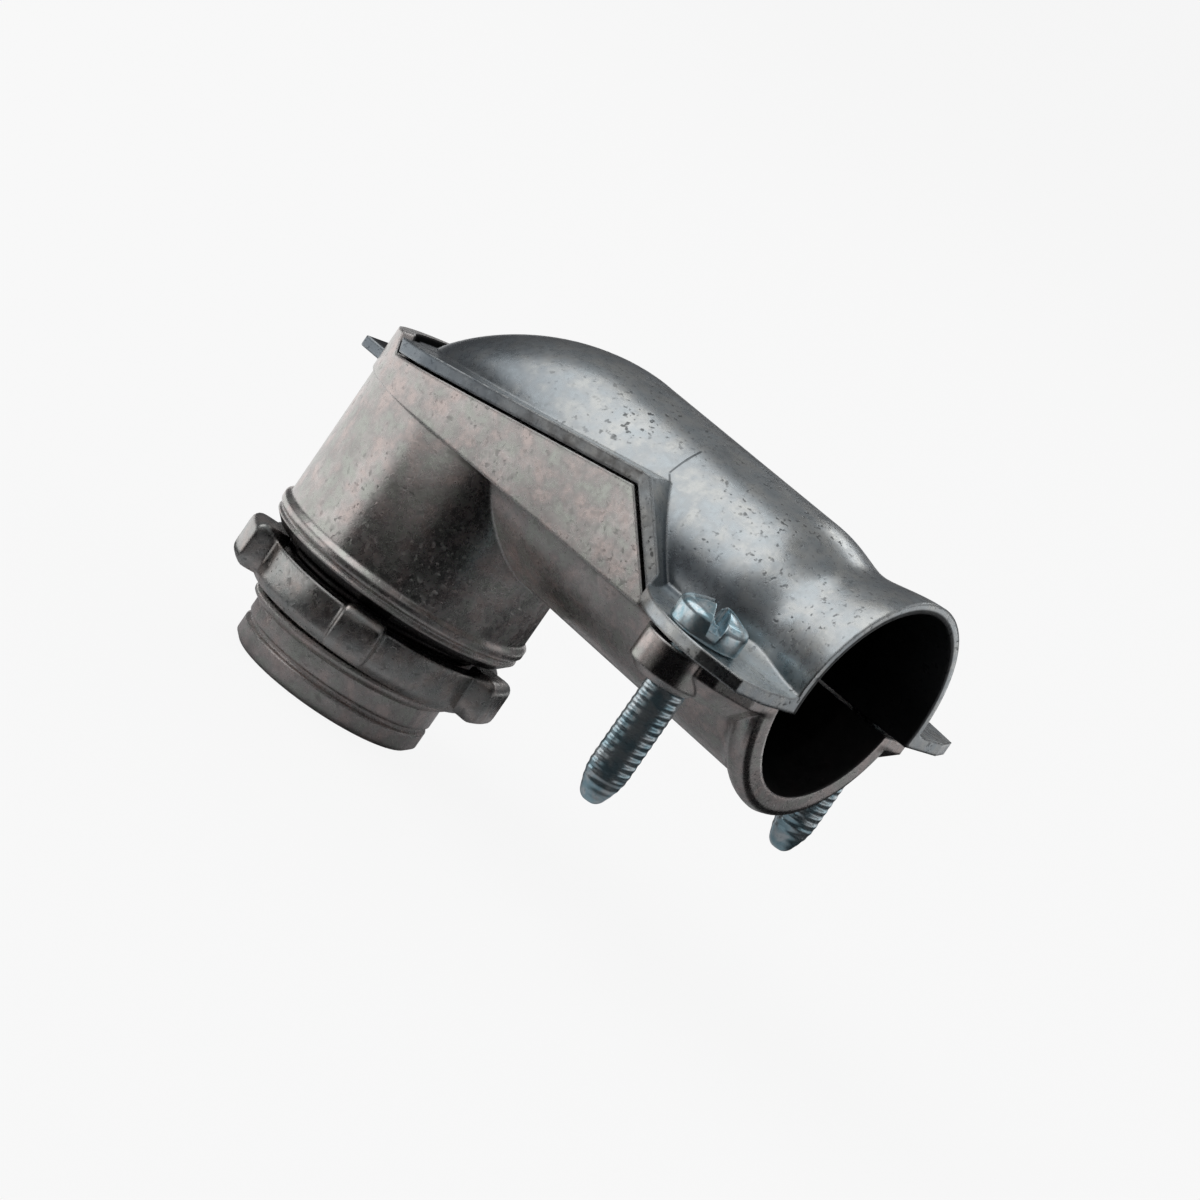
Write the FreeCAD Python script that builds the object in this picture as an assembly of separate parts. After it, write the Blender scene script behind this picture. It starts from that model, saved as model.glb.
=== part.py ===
import FreeCAD, Part
import math
import os

V = FreeCAD.Vector
X_AXIS = V(1, 0, 0)
Y_AXIS = V(0, 1, 0)
Z_AXIS = V(0, 0, 1)

# Driving dimensions in millimetres.
# Origin: on the hub's axis at the collar's underside. +Z runs up the throat, +X leaves the conduit mouth.

# Hub: plain core under the thread, a relief groove, and a plain end band
hub_radius = 9.85
hub_length = 11.25
end_band = 1.95
end_round = 0.5
relief_width = 0.8
relief_depth = 0.45
wire_bore_radius = 7.9
collar_radius = 13.0
collar_height = 1.0
collar_bevel = 0.85
bead_radius = 13.2
bead_height = 1.5
bead_gap = 0.25

# Throat and upper housing
throat_radius = 12.75
housing_radius = 13.0
ledge_height = 16.3
wall = 1.6
funnel_low = 2.2
funnel_high = 5.6

# Conduit trough
conduit_height = 19.3
conduit_radius = 9.6
stop_x = 13.6
stop_radius = 8.7
trough_end_x = 44.6
trough_draft = 0.85
trough_flare = 1.3
trough_flare_inner = 0.6
swell_length = 3.9
lip_round = 0.8

# Parting line between body and cover: a gentle rise, a steep ramp, then level lands at the screws
seat_height = 20.45
seat_slope = 0.175
ramp_top_x = 22.0
land_height = 17.2
ramp_slope = 1.0
rim_step_x = -7.2
rim_step_slope = 0.65
rim_gap = 0.45
rim_lift = 0.4
parting_gap = 0.3

# Cover
mouth_x = 46.4
cover_wall = 1.65
cover_clearance = 0.1
lip_thickness = 1.3
hood_full_x = 11.0
hood_length = 21.0
nose_sections = 6
nose_last_angle = 84.0
nose_height_power = 1.6
hollow_length = 16.5
hollow_steps = (0.95, 0.8, 0.5, 0.0)
shoulder_x = 33.0
neck_x = 39.2
neck_depth = 0.95
cover_flare = 0.3
cover_flare_inner = 0.9
mouth_slope = 0.08
skirt_height = 4.6
skirt_reach = 2.0
skirt_hollow = 0.3
skirt_root = 1.0
plate_back_x = -9.0
plate_gap = 0.7

# Ears and lugs
ear_start_x = 29.0
ear_reach = 20.9
ear_bulge = 0.16
ear_crown_x = 41.0
ear_corner_x = 45.4
ear_corner_drop = 1.0
ear_end_drop = 4.3
lug_inset = 2.3
lug_depth = 3.2
lug_bevel = 2.0
boss_radius = 3.5
boss_depth = 3.6
boss_shift = 1.0
boss_bevel = 0.7

# Tongue and its slot
tongue_width = 7.2
tongue_thickness = 1.1
tongue_height = 16.85
tongue_reach = 15.7
tongue_round = 0.38
tongue_web_x = -8.9
tongue_web = 1.3
slot_play = 0.35

# Clamp screws
screw_x = 38.4
screw_inset = 3.6
shank_radius = 1.45
thread_crest = 1.75
thread_play = 0.05
screw_length = 17.3
tip_length = 2.6
tip_radius = 0.7
head_radius = 3.45
head_height = 3.3
head_crown = 0.9
crown_radius = 2.2
head_gap = 0.05
drive_slot_width = 1.2
drive_slot_depth = 2.1
cross_length = 4.4
drive_angle = -49.0
ear_hole_play = 0.25
ear_hole_travel = 0.9

# Locknut
nut_top = -1.1
nut_thickness = 4.3
nut_radius = 12.4
nut_play = 0.05
nut_chamfer = 0.8
nut_lugs = 5
nut_lug_radius = 14.5
nut_lug_half_angle = 10.0
nut_lug_first_angle = -61.0
nut_lug_rise = 0.7
nut_lug_lift = 0.5
nut_lug_bevel = 0.6

# Sizes that follow from the driving ones
trough_radius = conduit_radius + wall
cover_inner_radius = conduit_radius + cover_clearance
hood_radius = cover_inner_radius + cover_wall
chamber_radius = housing_radius - wall
ramp_top_z = seat_height + seat_slope * ramp_top_x
ramp_foot_x = ramp_top_x + (ramp_top_z - land_height) / ramp_slope
rim_rise = parting_gap + lip_thickness + rim_lift
ear_top = land_height + parting_gap + lip_thickness
ear_corner_y = ear_reach - ear_corner_drop
ear_end_y = ear_reach - ear_end_drop
screw_y = ear_reach - screw_inset
nut_bottom = nut_top - nut_thickness
lip_back_x = rim_step_x + rim_gap - rim_step_slope * parting_gap
far = 3.0 * mouth_x
touch = 0.01


def seat(x):
    """Height of the body's seat for the cover's lip along the gentle rise."""
    return seat_height + seat_slope * x


def parting_face(x):
    """Height of the cover's underside along the gentle rise."""
    return seat(x) + parting_gap


def polygon_face(points):
    """Flat face inside a closed run of straight edges."""
    return Part.Face(Part.makePolygon(points + [points[0]]))


def side_prism(outline, half_width):
    """Extrude an (x, z) outline evenly to both sides of the plane of symmetry."""
    face = polygon_face([V(x, -half_width, z) for x, z in outline])
    return face.extrude(V(0, 2.0 * half_width, 0))


def turned(outline):
    """Revolve an (r, z) outline about the hub's axis."""
    return polygon_face([V(r, 0, z) for r, z in outline]).revolve(V(), Z_AXIS, 360)


def along_conduit(edges):
    """Revolve edges in the XZ plane, closed along the conduit's axis, about that axis."""
    face = Part.Face(Part.Wire(edges))
    return face.revolve(V(0, 0, conduit_height), X_AXIS, 360)


def mirrored(shape):
    """The same shape on the other side of the plane of symmetry."""
    return shape.mirror(V(), Y_AXIS)


def below_axis(x, radius):
    """Point in the plane of symmetry, straight below the conduit's axis."""
    return V(x, 0, conduit_height - radius)


def plan_outline(inset, end_x):
    """Ear outline on the -Y side as a face at z = 0, drawn in from the cover's ear and ended at end_x."""
    start = V(ear_start_x + inset, -conduit_radius, 0)
    root = V(ear_start_x + inset, -housing_radius, 0)
    crown = V(ear_crown_x, -ear_reach + inset, 0)
    middle = 0.5 * (root + crown) + ear_bulge * V(crown.y - root.y, root.x - crown.x, 0)
    corner = V(min(ear_corner_x, end_x) - inset, -ear_corner_y + inset, 0)
    end = V(end_x, -ear_end_y + inset, 0)
    foot = V(end_x, start.y, 0)
    edges = [
        Part.makeLine(start, root),
        Part.Arc(root, middle, crown).toShape(),
        Part.makeLine(crown, corner),
        Part.makeLine(corner, end),
        Part.makeLine(end, foot),
        Part.makeLine(foot, start),
    ]
    return Part.Face(Part.Wire(edges))


def screw_centre(side, z):
    """Point on a clamp screw's axis; side is -1 for the right screw and +1 for the left."""
    return V(screw_x, side * screw_y, z)


def hub_and_collar():
    """Turned lower end: end band, relief, thread core, flange and bead, all solid for now."""
    relief_low = -hub_length + end_band
    relief_high = relief_low + relief_width
    relief_r = hub_radius - relief_depth
    bead_low = collar_height + bead_gap
    bead_high = bead_low + bead_height
    bevel = bead_radius - throat_radius
    outline = [
        (0, -hub_length),
        (hub_radius - end_round, -hub_length),
        (hub_radius, -hub_length + end_round),
        (hub_radius, relief_low),
        (relief_r, relief_low + 0.5 * relief_depth),
        (relief_r, relief_high - 0.5 * relief_depth),
        (hub_radius, relief_high),
        (hub_radius, 0),
        (collar_radius - collar_bevel, 0),
        (collar_radius, collar_bevel),
        (collar_radius, collar_height),
        (throat_radius, bead_low),
        (bead_radius, bead_low + bevel),
        (bead_radius, bead_high - bevel),
        (throat_radius, bead_high),
        (0, bead_high),
    ]
    return turned(outline)


def trough_outside():
    """Outer form of the trough: a slightly tapered channel that swells through two arcs to a rounded lip."""
    lip_radius = trough_radius + trough_flare
    crest_x = trough_end_x - lip_round
    swell_x = crest_x - swell_length
    turn = 2.0 * math.atan2(trough_flare, swell_length)
    arc_radius = 0.5 * swell_length / math.sin(turn)
    half_run = arc_radius * math.sin(0.5 * turn)
    half_rise = arc_radius * (1.0 - math.cos(0.5 * turn))
    start = below_axis(0, 0)
    shoulder = below_axis(0, trough_radius - trough_draft)
    swell = below_axis(swell_x, trough_radius)
    hollow = below_axis(swell_x + half_run, trough_radius + half_rise)
    turning = below_axis(swell_x + 0.5 * swell_length, trough_radius + 0.5 * trough_flare)
    bulge = below_axis(crest_x - half_run, lip_radius - half_rise)
    crest = below_axis(crest_x, lip_radius)
    slant = lip_round * math.sqrt(0.5)
    edge = below_axis(crest_x + slant, lip_radius - lip_round + slant)
    nose = below_axis(trough_end_x, lip_radius - lip_round)
    end = below_axis(trough_end_x, 0)
    edges = [
        Part.makeLine(start, shoulder),
        Part.makeLine(shoulder, swell),
        Part.Arc(swell, hollow, turning).toShape(),
        Part.Arc(turning, bulge, crest).toShape(),
        Part.makeLine(crest, edge),
        Part.makeLine(edge, nose),
        Part.makeLine(nose, end),
        Part.makeLine(end, start),
    ]
    return along_conduit(edges)


def conduit_space():
    """Room for the conduit: a narrower way behind the stop, the round channel, and its widened mouth."""
    swell_x = trough_end_x - lip_round - swell_length
    flare_radius = conduit_radius + trough_flare_inner
    past_x = trough_end_x + wall
    points = [
        below_axis(0, 0),
        below_axis(0, stop_radius),
        below_axis(stop_x, stop_radius),
        below_axis(stop_x, conduit_radius),
        below_axis(swell_x, conduit_radius),
        below_axis(trough_end_x, flare_radius),
        below_axis(past_x, flare_radius),
        below_axis(past_x, 0),
    ]
    return polygon_face(points).revolve(below_axis(0, 0), X_AXIS, 360)


def housing_plan(radius, low, high):
    """Round back and straight cheeks in plan, from low to high."""
    back = Part.makeCylinder(radius, high - low, V(0, 0, low))
    cheeks = Part.makeBox(ramp_foot_x, 2.0 * radius, high - low, V(0, -radius, low))
    return back.fuse(cheeks)


def space_above_body():
    """Everything above the body's parting line, with the raised rim left at the back."""
    step_foot = (rim_step_x, seat(rim_step_x))
    step_top_x = rim_step_x - rim_step_slope * rim_rise
    step_top = (step_top_x, seat(step_top_x) + rim_rise)
    outline = [
        (-far, seat(-far) + rim_rise),
        step_top,
        step_foot,
        (ramp_top_x, ramp_top_z),
        (ramp_foot_x, land_height),
        (far, land_height),
        (far, far),
        (-far, far),
    ]
    return side_prism(outline, far)


def screw_lug(side):
    """Lug under a cover ear: a bevelled web out to the mouth and a round boss, not bored yet."""
    bottom = land_height - lug_depth
    lug = plan_outline(lug_inset, trough_end_x).extrude(V(0, 0, lug_depth))
    lug.translate(V(0, 0, bottom))
    edges = []
    for edge in lug.Edges:
        box = edge.BoundBox
        if box.ZMax < bottom + touch and box.YMin < -conduit_radius - touch:
            edges.append(edge)
    lug = lug.makeChamfer(lug_bevel, edges)
    boss_low = V(screw_x - boss_shift, -screw_y, land_height - boss_depth)
    boss = Part.makeCylinder(boss_radius, boss_depth, boss_low)
    low_edges = [edge for edge in boss.Edges if edge.BoundBox.ZMax < boss_low.z + touch]
    boss = boss.makeChamfer(boss_bevel, low_edges)
    lug = lug.fuse(boss)
    return lug if side < 0 else mirrored(lug)


def elbow_body():
    """The elbow casting."""
    top = ramp_top_z + wall
    body = hub_and_collar()
    throat_low = collar_height
    throat = Part.makeCylinder(throat_radius, top - throat_low, V(0, 0, throat_low))
    body = body.fuse(throat)
    body = body.fuse(housing_plan(housing_radius, ledge_height, top))
    body = body.fuse(trough_outside())
    body = body.fuse([screw_lug(-1), screw_lug(1)])
    body = body.cut(space_above_body())
    funnel = turned([
        (0, -hub_length - wall),
        (wire_bore_radius, -hub_length - wall),
        (wire_bore_radius, funnel_low),
        (chamber_radius, funnel_high),
        (chamber_radius, top),
        (0, top),
    ])
    body = body.cut(funnel)
    body = body.cut(conduit_space())
    pocket_low = ledge_height + wall
    pocket = Part.makeBox(far, 2.0 * chamber_radius, far, V(0, -chamber_radius, pocket_low))
    body = body.cut(pocket)
    body = body.cut(tongue_slot())
    for side in (-1, 1):
        hole = Part.makeCylinder(shank_radius + thread_play, far, screw_centre(side, -0.5 * far))
        body = body.cut(hole)
    return body.removeSplitter()


def tongue_slot():
    """Slot through the body's back wall for the cover's tongue."""
    half_width = 0.5 * tongue_width + slot_play
    half_height = 0.5 * tongue_thickness + slot_play
    low = V(-far, -half_width, tongue_height - half_height)
    return Part.makeBox(far + plate_back_x, 2.0 * half_width, 2.0 * half_height, low)


def nose_section(angle):
    """Oval section of the hood: its width follows the cosine of the angle, its height falls faster."""
    x = hood_full_x - hood_length * math.sin(angle)
    half_width = hood_radius * math.cos(angle)
    half_height = hood_radius * math.cos(angle) ** nose_height_power
    oval = Part.Wire([Part.Ellipse(V(), half_width, half_height).toShape()])
    upright = FreeCAD.Rotation(Y_AXIS, Z_AXIS, X_AXIS, "XYZ")
    oval.Placement = FreeCAD.Placement(V(x, 0, conduit_height), upright)
    return oval


def hood_nose():
    """Slanted, rounded back of the hood, lofted through its oval sections."""
    last = math.radians(nose_last_angle)
    angles = [last * i / (nose_sections - 1) for i in range(nose_sections)]
    return Part.makeLoft([nose_section(angle) for angle in angles], True, False)


def barrel_outside():
    """Straight barrel, neck and flared mouth of the hood, turned about the conduit's axis."""
    base = below_axis(hood_full_x, 0)
    low = below_axis(hood_full_x, hood_radius)
    shoulder = below_axis(shoulder_x, hood_radius)
    waist = below_axis(neck_x, hood_radius - neck_depth)
    mouth = below_axis(mouth_x, hood_radius + cover_flare)
    end = below_axis(mouth_x, 0)
    curve = Part.BSplineCurve()
    curve.interpolate(
        Points=[shoulder, waist, mouth],
        InitialTangent=X_AXIS,
        FinalTangent=V(1, 0, -mouth_slope),
    )
    edges = [
        Part.makeLine(base, low),
        Part.makeLine(low, shoulder),
        curve.toShape(),
        Part.makeLine(mouth, end),
        Part.makeLine(end, base),
    ]
    return along_conduit(edges)


def hood_inside():
    """Turned hollow of the hood: cones under the nose, a way behind the stop, the bore and its mouth."""
    flare_radius = cover_inner_radius + cover_flare_inner
    past_x = mouth_x + cover_wall
    points = [below_axis(hood_full_x - hollow_length, 0)]
    for share in hollow_steps:
        x = hood_full_x - hollow_length * share
        points.append(below_axis(x, stop_radius * math.sqrt(1.0 - share * share)))
    points += [
        below_axis(stop_x, stop_radius),
        below_axis(stop_x, cover_inner_radius),
        below_axis(neck_x, cover_inner_radius),
        below_axis(mouth_x, flare_radius),
        below_axis(past_x, flare_radius),
        below_axis(past_x, 0),
    ]
    return polygon_face(points).revolve(below_axis(0, 0), X_AXIS, 360)


def lip_outline():
    """(x, z) outline of the cover's lip: gentle rise, ramp and ear, lip_thickness deep."""
    top_back_x = lip_back_x - rim_step_slope * lip_thickness
    ramp_x = ramp_top_x + parting_gap
    foot_x = ramp_foot_x + parting_gap
    ramp_shift = lip_thickness * (math.hypot(1.0, ramp_slope) - 1.0) / ramp_slope
    return [
        (lip_back_x, parting_face(lip_back_x)),
        (ramp_x, parting_face(ramp_top_x)),
        (foot_x, land_height + parting_gap),
        (mouth_x, land_height + parting_gap),
        (mouth_x, ear_top),
        (foot_x + ramp_shift, ear_top),
        (ramp_x + ramp_shift, parting_face(ramp_top_x) + lip_thickness),
        (top_back_x, parting_face(top_back_x) + lip_thickness),
    ]


def rear_plate_outline():
    """(x, z) outline of the plate that carries the lip back inside the body's rim."""
    front_x = lip_back_x + lip_thickness
    return [
        (plate_back_x, parting_face(plate_back_x)),
        (front_x, parting_face(front_x)),
        (front_x, parting_face(front_x) + lip_thickness),
        (plate_back_x, parting_face(plate_back_x) + lip_thickness),
    ]


def cover_lip():
    """Lip plate that follows the parting line, with the two ears."""
    plan = housing_plan(housing_radius, -far, far)
    ear = plan_outline(0.0, mouth_x).extrude(V(0, 0, 2.0 * far))
    ear.translate(V(0, 0, -far))
    plan = plan.fuse([ear, mirrored(ear)])
    front = side_prism(lip_outline(), far).common(plan)
    chamber = Part.makeCylinder(chamber_radius - plate_gap, 2.0 * far, V(0, 0, -far))
    rear = side_prism(rear_plate_outline(), far).common(chamber)
    return front.fuse(rear)


def space_below_cover():
    """Everything under the cover's parting face."""
    outline = [
        (-far, parting_face(-far)),
        (ramp_top_x + parting_gap, parting_face(ramp_top_x)),
        (ramp_foot_x + parting_gap, land_height + parting_gap),
        (far, land_height + parting_gap),
        (far, -far),
        (-far, -far),
    ]
    return side_prism(outline, far)


def ear_skirt():
    """Concave skirt that carries the hood's side out into the -Y ear."""
    low = ear_top - 0.5 * lip_thickness
    root = V(ramp_foot_x, skirt_root - cover_inner_radius, low)
    top = V(ramp_foot_x, root.y, ear_top + skirt_height)
    toe = V(ramp_foot_x, -hood_radius - skirt_reach, ear_top)
    toe_foot = V(ramp_foot_x, toe.y, low)
    middle = V(ramp_foot_x, top.y + skirt_hollow * (toe.y - top.y), ear_top + skirt_hollow * skirt_height)
    edges = [
        Part.makeLine(root, top),
        Part.Arc(top, middle, toe).toShape(),
        Part.makeLine(toe, toe_foot),
        Part.makeLine(toe_foot, root),
    ]
    return Part.Face(Part.Wire(edges)).extrude(V(mouth_x - ramp_foot_x, 0, 0))


def cover_tongue():
    """Web down from the hood's nose and the tab that hooks out through the back wall."""
    low = tongue_height - 0.5 * tongue_thickness
    half = 0.5 * tongue_width
    web_top = parting_face(tongue_web_x) + 0.5 * lip_thickness
    web = Part.makeBox(tongue_web, tongue_width, web_top - low, V(tongue_web_x, -half, low))
    tab_length = tongue_reach + tongue_web_x + tongue_web
    tab = Part.makeBox(tab_length, tongue_width, tongue_thickness, V(-tongue_reach, -half, low))
    edges = [edge for edge in tab.Edges if edge.BoundBox.XMax < -tongue_reach + touch]
    tab = tab.makeFillet(tongue_round, edges)
    return web.fuse(tab)


def ear_hole(side):
    """Oblong hole that lets the cover tilt on the screw."""
    radius = thread_crest + ear_hole_play
    low = screw_centre(side, land_height)
    depth = 2.0 * lip_thickness + parting_gap
    near = Part.makeCylinder(radius, depth, low)
    away = Part.makeCylinder(radius, depth, low + V(ear_hole_travel, 0, 0))
    link = Part.makeBox(ear_hole_travel, 2.0 * radius, depth, low - V(0, radius, 0))
    return near.fuse([away, link])


def clamp_cover():
    """The clamp cover casting."""
    cover = hood_nose().fuse(barrel_outside())
    cover = cover.cut(space_below_cover())
    cover = cover.fuse(cover_lip())
    skirt = ear_skirt()
    cover = cover.fuse([skirt, mirrored(skirt)])
    cover = cover.fuse(cover_tongue())
    cover = cover.cut(hood_inside())
    for side in (-1, 1):
        cover = cover.cut(ear_hole(side))
    return cover


def locknut():
    """Locknut: a ring bored to run on the hub's thread, chamfered below, with lugs round it."""
    ring = turned([
        (hub_radius + nut_play, nut_bottom),
        (nut_radius - nut_chamfer, nut_bottom),
        (nut_radius, nut_bottom + nut_chamfer),
        (nut_radius, nut_top),
        (hub_radius + nut_play, nut_top),
    ])
    lug_height = nut_thickness + nut_lug_rise - nut_lug_lift
    half = nut_lug_radius * math.sin(math.radians(nut_lug_half_angle))
    root = 0.5 * (nut_radius + hub_radius)
    lug_low = V(root, -half, nut_bottom + nut_lug_lift)
    lug = Part.makeBox(nut_lug_radius - root, 2.0 * half, lug_height, lug_low)
    edges = [edge for edge in lug.Edges if edge.BoundBox.XMin > nut_lug_radius - touch]
    lug = lug.makeChamfer(nut_lug_bevel, edges)
    for index in range(nut_lugs):
        turn = nut_lug_first_angle + 360.0 * index / nut_lugs
        placed = lug.copy()
        placed.rotate(V(), Z_AXIS, turn)
        ring = ring.fuse(placed)
    ring = ring.cut(Part.makeCylinder(hub_radius + nut_play, far, V(0, 0, -0.5 * far)))
    return ring.removeSplitter()


def clamp_screw(side):
    """Machine screw with a tall bevelled head, a full slot and a short cross recess."""
    under = ear_top + head_gap
    top = under + head_height
    tip = under - screw_length
    screw = turned([
        (0, tip),
        (tip_radius, tip),
        (shank_radius, tip + tip_length),
        (shank_radius, under),
        (head_radius, under),
        (head_radius, top - head_crown),
        (crown_radius, top),
        (0, top),
    ])
    slot_low = top - drive_slot_depth
    half_width = 0.5 * drive_slot_width
    half_cross = 0.5 * cross_length
    slot = Part.makeBox(2.0 * far, drive_slot_width, far, V(-far, -half_width, slot_low))
    cross = Part.makeBox(drive_slot_width, cross_length, far, V(-half_width, -half_cross, slot_low))
    for recess in (slot, cross):
        recess.rotate(V(), Z_AXIS, drive_angle)
        screw = screw.cut(recess)
    screw.translate(screw_centre(side, 0))
    return screw


os.makedirs("parts", exist_ok=True)

pieces = {
    "elbow_body": elbow_body(),
    "clamp_cover": clamp_cover(),
    "locknut": locknut(),
    "right_clamp_screw": clamp_screw(-1),
    "left_clamp_screw": clamp_screw(1),
}

for name, shape in pieces.items():
    solids = shape.Solids
    print(name, "solids", len(solids), "valid", shape.isValid(), "volume", round(shape.Volume, 1))
    solids[0].exportStep("parts/" + name + ".step")
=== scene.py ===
import math
import bpy
import numpy as np
from mathutils import Matrix, Vector


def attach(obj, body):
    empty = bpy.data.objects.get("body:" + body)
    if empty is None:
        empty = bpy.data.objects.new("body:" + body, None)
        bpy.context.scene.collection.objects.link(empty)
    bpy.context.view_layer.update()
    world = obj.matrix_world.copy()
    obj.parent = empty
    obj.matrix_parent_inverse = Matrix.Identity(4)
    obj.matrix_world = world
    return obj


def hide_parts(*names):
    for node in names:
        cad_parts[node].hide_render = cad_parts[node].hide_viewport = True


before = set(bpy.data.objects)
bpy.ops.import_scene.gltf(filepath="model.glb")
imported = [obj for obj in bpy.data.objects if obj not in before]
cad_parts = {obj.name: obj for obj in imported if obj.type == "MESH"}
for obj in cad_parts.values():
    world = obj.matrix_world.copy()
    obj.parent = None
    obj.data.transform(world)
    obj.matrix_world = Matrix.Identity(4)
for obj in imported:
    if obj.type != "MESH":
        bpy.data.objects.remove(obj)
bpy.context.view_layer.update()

MM = 0.001

# Places and sizes of the connector that the threads and finishes follow, in millimetres
CONDUIT_HEIGHT = 19.3
HOOD_RADIUS = 11.35
CHAMBER_RADIUS = 11.4
INNER_EDGE = 11.05
COLLAR_EDGE = 0.85
SEAM_HEIGHT = 21.3
SEAM_SLOPE = 0.175
RAMP_SUM = 47.6
LEDGE_HEIGHT = 16.3
FLOOR_LEVEL = -11.3

# Where a mark or a painted shade starts to show or to fade and where that ends, in millimetres
WAY_WALL = (11.2, 11.5)
MOUTH_FACE = (45.9, 46.2)
SEAM_BAND = (0.65, 1.15)
SEAM_END = (21.5, 23.5)
CHEEK_SIDE = (12.3, 12.7)
RAMP_BAND = (0.7, 1.3)
RAMP_FOOT = (17.6, 19.0)
RAMP_HEAD = (21.0, 22.5)
CREASE_DROP = 0.3
CREASE_BAND = (0.15, 0.5)
CREASE_SIDE = (9.8, 10.4)
CREASE_START = (2.0, 6.0)
NOSE_LENGTH = (0.0, 16.0)
NOSE_TOP = (25.0, 28.5)
FOOT_TOP = (21.5, 25.5)
FOOT_START = (22.0, 26.0)
FOOT_END = (34.0, 41.0)
FOOT_WALL = (11.8, 12.2)

# Flow line on the hood: its corners as length along the conduit and arc round it, and its soft edge
FLOW_LINE = ((22.78, 10.92), (21.90, 10.18), (21.55, 5.86))
FLOW_EDGE = (0.03, 0.14)

# Card that the bare metal mirrors, in millimetres, its turn in degrees
CARD_TURN = 8.0
CARD_LEFT = -34.0
CARD_RIGHT = 300.0
CARD_BACK = -220.0
CARD_OUT = 58.0
CARD_BEND = 10.0
CARD_LOW = 19.0
CARD_TALL = 46.0
CARD_CLIMB = (0.0, 28.0)
CARD_LIFT = 0.02
CARD_STANDING = (0.5, 6.0)
CARD_DARK_FROM = (32.0, 48.0)
CARD_PALE_FROM = (105.0, 135.0)
CARD_LEFT_END = (10.0, 30.0)
CARD_LEFT_STANDING = (2.0, 7.0)
CARD_LEFT_FADE = (8.0, 18.0)

# Locknut, in millimetres, its first lug's turn in degrees
NUT_TOP = -1.1
NUT_BOTTOM = -5.4
NUT_BORE = 10.68
NUT_RADIUS = 12.4
NUT_CHAMFER = 0.8
NUT_LUGS = 5
NUT_LUG_FIRST = -61.0
NUT_LUG_RADIUS = 14.5
NUT_LUG_HALF_WIDTH = 2.5
NUT_LUG_TOP = -0.4
NUT_LUG_BOTTOM = -4.9
NUT_LUG_ROOT = 11.1

# Hub's thread, in millimetres
HUB_CORE_RADIUS = 9.85
HUB_THREAD_CREST = 10.6
HUB_THREAD_PITCH = 1.814
HUB_THREAD_TOP = -0.2
HUB_THREAD_BOTTOM = -7.6
HUB_THREAD_SINK = 0.15
HUB_POINTS_PER_TURN = 110

# Clamp screws, in millimetres, the turn of their drive in degrees
SCREW_X = 38.4
SCREW_Y = 17.3
SCREW_TIP = 1.55
SCREW_UNDER_HEAD = 18.85
SCREW_HEAD_HEIGHT = 3.3
SCREW_HEAD_RADIUS = 3.45
SCREW_CROWN = 0.75
SCREW_CORE_RADIUS = 1.87
SCREW_CREST_RADIUS = 1.92
SCREW_THREAD_PITCH = 0.794
SCREW_TIP_RADIUS = 0.5
SCREW_TIP_LENGTH = 3.6
SCREW_TIP_START = 0.05
SCREW_HEAD_OVERLAP = 0.3
SCREW_ROWS_PER_PITCH = 14
SCREW_SIDES = 60
HEAD_LOW_EDGE = 0.35
HEAD_TOP_EDGE = 0.85
HEAD_SIDES = 300
DRIVE_ANGLE = -49.0
DRIVE_SLOT_WIDTH = 1.3
DRIVE_SLOT_DEPTH = 2.0
DRIVE_CROSS_LENGTH = 4.6
DRIVE_SOFT = 0.06
DRIVE_END_SOFT = 0.25

# Camera of the photograph: turn about Z, height angle, roll, distance and scale at the aim point
VIEW_TURN = 29.5
VIEW_RISE = 10.2
VIEW_ROLL = 34.8
VIEW_DISTANCE = 500.0
VIEW_PIXELS_PER_MM = 11.18
VIEW_AIM = (17.0, 0.0, 12.0)
VIEW_AIM_PIXEL = (589.8, 590.1)
PHOTO_PIXELS = 1200.0
SENSOR = 36.0


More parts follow.
